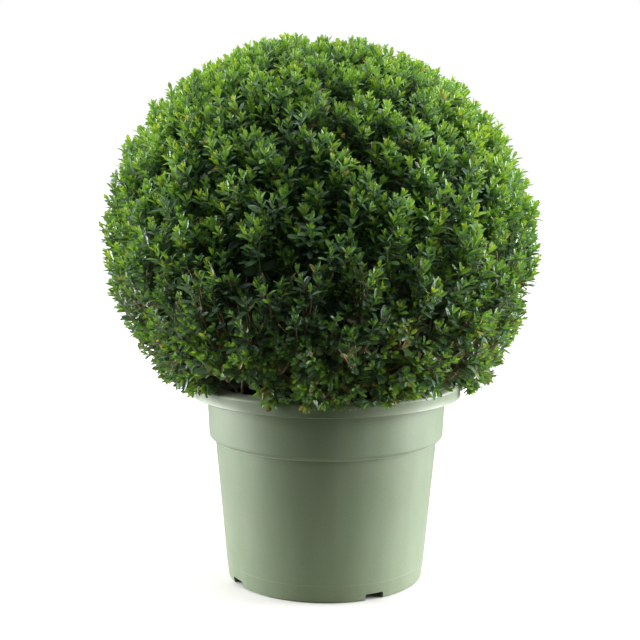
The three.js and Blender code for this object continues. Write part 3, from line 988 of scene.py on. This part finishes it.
def leaf_row(root, along, turn, angle, size, breadth, rng):
    """One leaf on each shoot, turned round it: its root, heading, upper side and sizes."""
    count = len(turn)
    across, other = sideways(along)
    out = across * np.cos(turn)[:, None] + other * np.sin(turn)[:, None]
    lean = np.radians(angle + rng.normal(0, SCATTER["lean"], count))[:, None]
    length = size * rng.uniform(*SCATTER["size"], count)
    return dict(
        root=root,
        heading=np.cos(lean) * along + np.sin(lean) * out,
        upper=np.sin(lean) * along - np.cos(lean) * out,
        length=length,
        width=length * breadth * rng.uniform(*SCATTER["breadth"], count),
        curl=rng.normal(LEAF_CURL, SCATTER["curl"], count),
        shoot=np.arange(count),
    )


def leaf_frames(shoots, pairs, rng, lowest=None, furthest=FURTHEST):
    """Every leaf that finds room, in opposite pairs along the shoots.

    Each shoot may have a lowest height of its own for its leaves.
    """
    start, bend, tip = shoots["start"], shoots["bend"], shoots["tip"]
    length = shoot_lengths(shoots)
    count = len(tip)
    first_turn = rng.uniform(0, 2 * np.pi, count)
    vigour = rng.normal(1, SCATTER["vigour"], count)
    rows = []
    for pair, (down, size, breadth, angle) in enumerate(np.array(pairs) * (MM, MM, 1, 1)):
        t = np.clip(1 - down * vigour / length, 0, 1)[:, None]
        root = (1 - t) ** 2 * start + 2 * t * (1 - t) * bend + t**2 * tip
        along = unit(2 * (1 - t) * (bend - start) + 2 * t * (tip - bend))
        for side in (0, 1):
            turn = first_turn + pair * np.pi / 2 + side * np.pi
            turn = turn + rng.normal(0, SCATTER["turn"], count)
            row = leaf_row(root, along, turn, angle, size * vigour, breadth, rng)
            rows.append(dict(row, pair=np.full(count, pair)))
    leaves = {key: np.concatenate([row[key] for row in rows]) for key in rows[0]}
    reach = leaves["heading"] * leaves["length"][:, None]
    ends = leaves["root"] + reach
    middles = leaves["root"] + reach / 2
    if lowest is not None:
        lowest = lowest[leaves["shoot"]]
    keep = (outwardness(ends) < furthest) & ~has_shed(leaves, shoots, rng)
    for points in (leaves["root"], middles, ends):
        keep &= has_room(points, lowest) & ~in_gap(points)
    return picked(leaves, keep)


def leaf_mesh(name, leaves):
    """Joins leaves into one mesh; each is folded along its midrib and curls along its length."""
    width, length, curl = (leaves[key][:, None] for key in ("width", "length", "curl"))
    across, along, up = LEAF_POINTS.T
    parts = [
        (np.cross(leaves["heading"], leaves["upper"]), across * width),
        (leaves["heading"], along * length),
        (leaves["upper"], up * width * LEAF_FOLD - curl * along**2 * length),
    ]
    points = leaves["root"][:, None]
    for axis, shares in parts:
        points = points + axis[:, None] * shares[..., None]
    step = len(LEAF_POINTS)
    triangles = LEAF_FACES[None] + (np.arange(len(points)) * step)[:, None, None]
    mesh = mesh_from_arrays(name, points.reshape(-1, 3), triangles.reshape(-1, 3))
    ends = np.empty(2 * len(mesh.edges), np.int32)
    mesh.edges.foreach_get("vertices", ends)
    local = np.sort(ends.reshape(-1, 2) % step, axis=1)
    sharp = np.any([(local == edge).all(axis=1) for edge in MIDRIB_EDGES], axis=0)
    attribute = mesh.attributes.new("sharp_edge", "BOOLEAN", "EDGE")
    attribute.data.foreach_set("value", sharp)
    return mesh


def deal_colours(leaves, shoots, rng):
    """A colour name for each leaf, by its age on the shoot, its shoot, and how high it grows; on
    shoots that face down, duller colours are painted reflection.
    """
    shoot, pair = leaves["shoot"], leaves["pair"]
    high = shoots["normal"][:, 2]
    patch = smooth_noise(shoots["tip"], 16, 9) + 0.7 * smooth_noise(shoots["tip"], 6, 4)
    vigour = rng.normal(0, 0.5, len(high)) + patch + 0.6 * np.clip(high, -1, 0.5)
    age = pair + rng.normal(0, 0.45, len(pair)) - vigour[shoot]
    names = np.full(len(pair), "deep", dtype=object)
    for limit, colour in COLOUR_AGES:
        names[age < limit] = colour
    # Leaves on shoots that face down get duller, bluer colours as painted reflection, the greyish
    # sheen of shaded leaves; and some of the deep ones are blue anywhere.
    painted_reflection_share = np.clip(0.2 - 2 * high[shoot], 0, 0.6)
    duller = (("mid", painted_reflection_share, "blue"), ("fresh", painted_reflection_share, "green"), ("deep", 0.4, "blue"))
    for colour, share, other in duller:
        names[(rng.random(len(pair)) < share) & (names == colour)] = other
    old_wood = FRINGE_Z + (75 + 90 * smooth_noise(shoots["tip"], 8, 3)) * MM
    low = leaves["root"][:, 2] < old_wood[shoot]
    for colour, share_low, share_high in ODD_COLOURS:
        names[rng.random(len(pair)) < np.where(low, share_low, share_high)] = colour
    return names


def dress_with_foliage(piece):
    """Hands a piece of the foliage to the frame, in place of the CAD's mass."""
    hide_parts("foliage_ball")
    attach(piece, "root")


def joined(first, second):
    """Two sets of shoots or leaves as one."""
    return {key: np.concatenate([first[key], second[key]]) for key in first}


def add_leaves(leaves, names):
    """One piece and one material for each colour of leaf."""
    for colour, value in LEAF_COLOURS.items():
        mesh = leaf_mesh(f"leaves_{colour}", picked(leaves, names == colour))
        skin = leaf_skin(f"leaf_{colour}", value)
        dress_with_foliage(add_object(f"leaves_{colour}", mesh, skin))


def nearest(points, targets):
    """For each point, the index of the target nearest to it."""
    return np.argmin(np.linalg.norm(points[:, None] - targets[None], axis=2), axis=1)


def add_tubes(name, limbs, barks):
    """One piece of tapering tubes along the limbs' curves."""
    rings, sides, root_radius, tip_radius, skin = TUBES[name]
    paths = bezier(limbs["start"], limbs["bend"], limbs["tip"], rings)
    radii = np.linspace(root_radius * MM, tip_radius * MM, rings)
    points, triangles = tubes(paths, np.tile(radii, (len(paths), 1)), sides)
    mesh = mesh_from_arrays(name, points, triangles)
    dress_with_foliage(add_object(name, mesh, barks[skin]))


def grow_branches(rng):
    """Branches grow on from the boughs' tips and the trunk's top, forking into the ball."""
    b = BRANCHES
    tips = np.array([bough_path(i, 8)[-1] for i in range(BOUGHS["count"])])
    crown_of_trunk = np.array([[TRUNK_LEAN, 0, trunk_high.z + 25 * MM]])
    forks = np.concatenate([tips, crown_of_trunk])
    ends = onto_crown(crown_spots(b["count"], b["low_sine"]), b["inset"])
    ends[:, 2] = np.maximum(ends[:, 2], BOUGHS["floor_z"] + b["above_boughs"])
    start = forks[nearest(ends, forks)]
    arch = np.array([0, 0, b["arch"]])
    bend = (start + ends) / 2 + arch + rng.normal(0, 12, start.shape) * MM
    return dict(start=start, bend=bend, tip=ends, normal=np.zeros_like(ends))


def grow_twigs(branches, nodes, rng):
    """A twig runs from the nearest branch's end to each spray's node."""
    ends = branches["tip"]
    start = ends[nearest(nodes, ends)]
    bend = (start + nodes) / 2 + rng.normal(0, 9, nodes.shape) * MM
    bend[:, 2] = np.maximum(bend[:, 2], POT_TOP + TWIG_CLEARANCE)
    return dict(start=start, bend=bend, tip=nodes, normal=np.zeros_like(nodes))


def foliage():
    """Everything that grows on from the limbs. The order of the steps sets the random draws."""
    rng = np.random.default_rng(SEED)
    shoots, nodes = grow_shoots(rng)
    strays, stray_floor = grow_strays(rng)
    branches = grow_branches(rng)
    twigs = grow_twigs(branches, nodes, rng)
    outer = leaf_frames(shoots, LEAF_PAIRS, rng)
    loose = leaf_frames(strays, LEAF_PAIRS, rng, stray_floor, STRAY["furthest"])
    on_twigs = leaf_frames(twigs, INNER_PAIRS, rng)
    inner = joined(on_twigs, leaf_frames(branches, BRANCH_PAIRS, rng))
    inner_kinds = np.array(list(INNER_COLOURS), dtype=object)
    names = [
        deal_colours(outer, shoots, rng),
        deal_colours(loose, strays, rng),
        rng.choice(inner_kinds, len(inner["pair"]), p=tuple(INNER_COLOURS.values())),
    ]
    add_leaves(joined(joined(outer, loose), inner), np.concatenate(names))
    low = shoots["normal"][:, 2] + rng.normal(0, 0.2, len(shoots["tip"])) < -0.05
    woody = joined(picked(shoots, low), strays)
    barks = {name: bark(name, *look) for name, look in STEM_BARKS.items()}
    add_tubes("green_shoots", picked(shoots, ~low), barks)
    add_tubes("woody_shoots", woody, barks)
    add_tubes("twigs", twigs, barks)
    add_tubes("gap_stems", gap_stems(rng), barks)
    add_tubes("bare_twigs", grow_bare_twigs(shoots, rng), barks)
    add_tubes("branches", branches, barks)


# ---- Stage, light and camera ----

# Angles in radians, the lens in millimetres on a 36 mm wide sensor.
CAMERA = dict(place=(0, -1.907, 0.633), pitch=-0.130, yaw=0.0052, roll=0.006, lens=73)
# What the floor throws back on the object, near it and far off, and at what reach.
FLOOR_GREY = dict(near=0.2, far=0.75, near_grey=(0.29, 0.305, 0.22), far_grey=(0.02, 0.02, 0.015))
# The sky's light falls from bright to dark the more a direction faces the front.
SKY_FRONT = (-0.17, -1.0, -0.04)
SKY_RAMP = dict(From_Min=0.3, From_Max=0.58, To_Min=1.8, To_Max=0.053)


def floor():
    """A large white sheet. It throws back less than the eye sees, and least of all far off."""
    mesh = bpy.data.meshes.new("floor")
    half = 20
    corners = [(-half, -half, 0), (half, -half, 0), (half, half, 0), (-half, half, 0)]
    mesh.from_pydata(corners, [], [(0, 1, 2, 3)])
    f = Finish("floor_paper", roughness=0.9, specular=0.0)
    paper = f.ramp(f.noise(3), [(0.3, (0.925, 0.905, 0.89)), (0.7, (0.94, 0.925, 0.915))])
    f.join(paper, f.shader.inputs["Base Color"])
    away = f.node("ShaderNodeVectorMath", operation="LENGTH")
    f.join(f.place, away.inputs[0])
    g = FLOOR_GREY
    share = f.range(away.outputs["Value"], 0, 1, g["near"], g["far"])
    grey = f.node("ShaderNodeBsdfDiffuse")
    f.join(f.mix(share, g["near_grey"], g["far_grey"]), grey.inputs["Color"])
    seen = f.node("ShaderNodeLightPath").outputs["Is Camera Ray"]
    f.join(seen, f.blend(grey, f.shader))
    made = add_object("floor", mesh, f.material)
    made.location.z = -0.0003


def sky():
    """White all round to the eye; as light, dark in front and bright beside, behind and above."""
    world = bpy.data.worlds.new("studio")
    bpy.context.scene.world = world
    n = Nodes(world, "ShaderNodeOutputWorld")
    facing = n.node("ShaderNodeVectorMath", operation="DOT_PRODUCT")
    facing.inputs[1].default_value = Vector(SKY_FRONT).normalized()
    n.join(n.node("ShaderNodeTexCoord").outputs["Generated"], facing.inputs[0])
    ramp = n.node("ShaderNodeMapRange", interpolation_type="SMOOTHSTEP", **SKY_RAMP)
    n.join(facing.outputs["Value"], ramp.inputs["Value"])
    light = n.node("ShaderNodeBackground", Color=(1, 1, 1, 1))
    n.join(ramp.outputs["Result"], light.inputs["Strength"])
    white = n.node("ShaderNodeBackground", Color=(1, 1, 1, 1), Strength=1)
    seen = n.node("ShaderNodeLightPath").outputs["Is Camera Ray"]
    n.join(seen, n.blend(light, white))


def soft_box(name, place, aim, size, power):
    """A rectangular lamp, turned to the point it aims at."""
    lamp = bpy.data.lights.new(name, "AREA")
    lamp.shape = "RECTANGLE"
    lamp.size, lamp.size_y = size
    lamp.energy = power
    made = link_object(name, lamp)
    made.location = place
    made.rotation_euler = (Vector(aim) - Vector(place)).to_track_quat("-Z", "Y").to_euler()


def lights():
    """A weak lamp above, and one low on each side a little behind the middle."""
    soft_box("top_light", (0.6, 0.1, 2.5), (0, 0, 0.5), (1.2, 1.2), 6)
    soft_box("left_light", (-2.2, 0.38, 0.45), (0, 0, 0.4), (1.4, 1.1), 75)
    soft_box("right_light", (2.2, 0.22, 0.6), (0, 0, 0.5), (1.5, 1.3), 82)


def camera():
    """The photograph's viewing angle."""
    lens = bpy.data.cameras.new("camera")
    lens.lens = CAMERA["lens"]
    lens.sensor_width = 36
    made = link_object("camera", lens)
    made.location = CAMERA["place"]
    yaw = Matrix.Rotation(CAMERA["yaw"], 4, "Z")
    pitch = Matrix.Rotation(math.pi / 2 + CAMERA["pitch"], 4, "X")
    roll = Matrix.Rotation(CAMERA["roll"], 4, "Z")
    made.rotation_euler = (yaw @ pitch @ roll).to_euler()
    bpy.context.scene.camera = made
    bpy.context.scene.view_settings.view_transform = "Standard"


# ---- Assembly ----

camera()
container()
potting_soil()
soil_crumbs()
wood_bark = bark("wood_bark", dark=(0.13, 0.10, 0.07), pale=(0.34, 0.28, 0.20), relief=0.0012)
trunk(wood_bark)
boughs(wood_bark)
foliage()
floor()
sky()
lights()
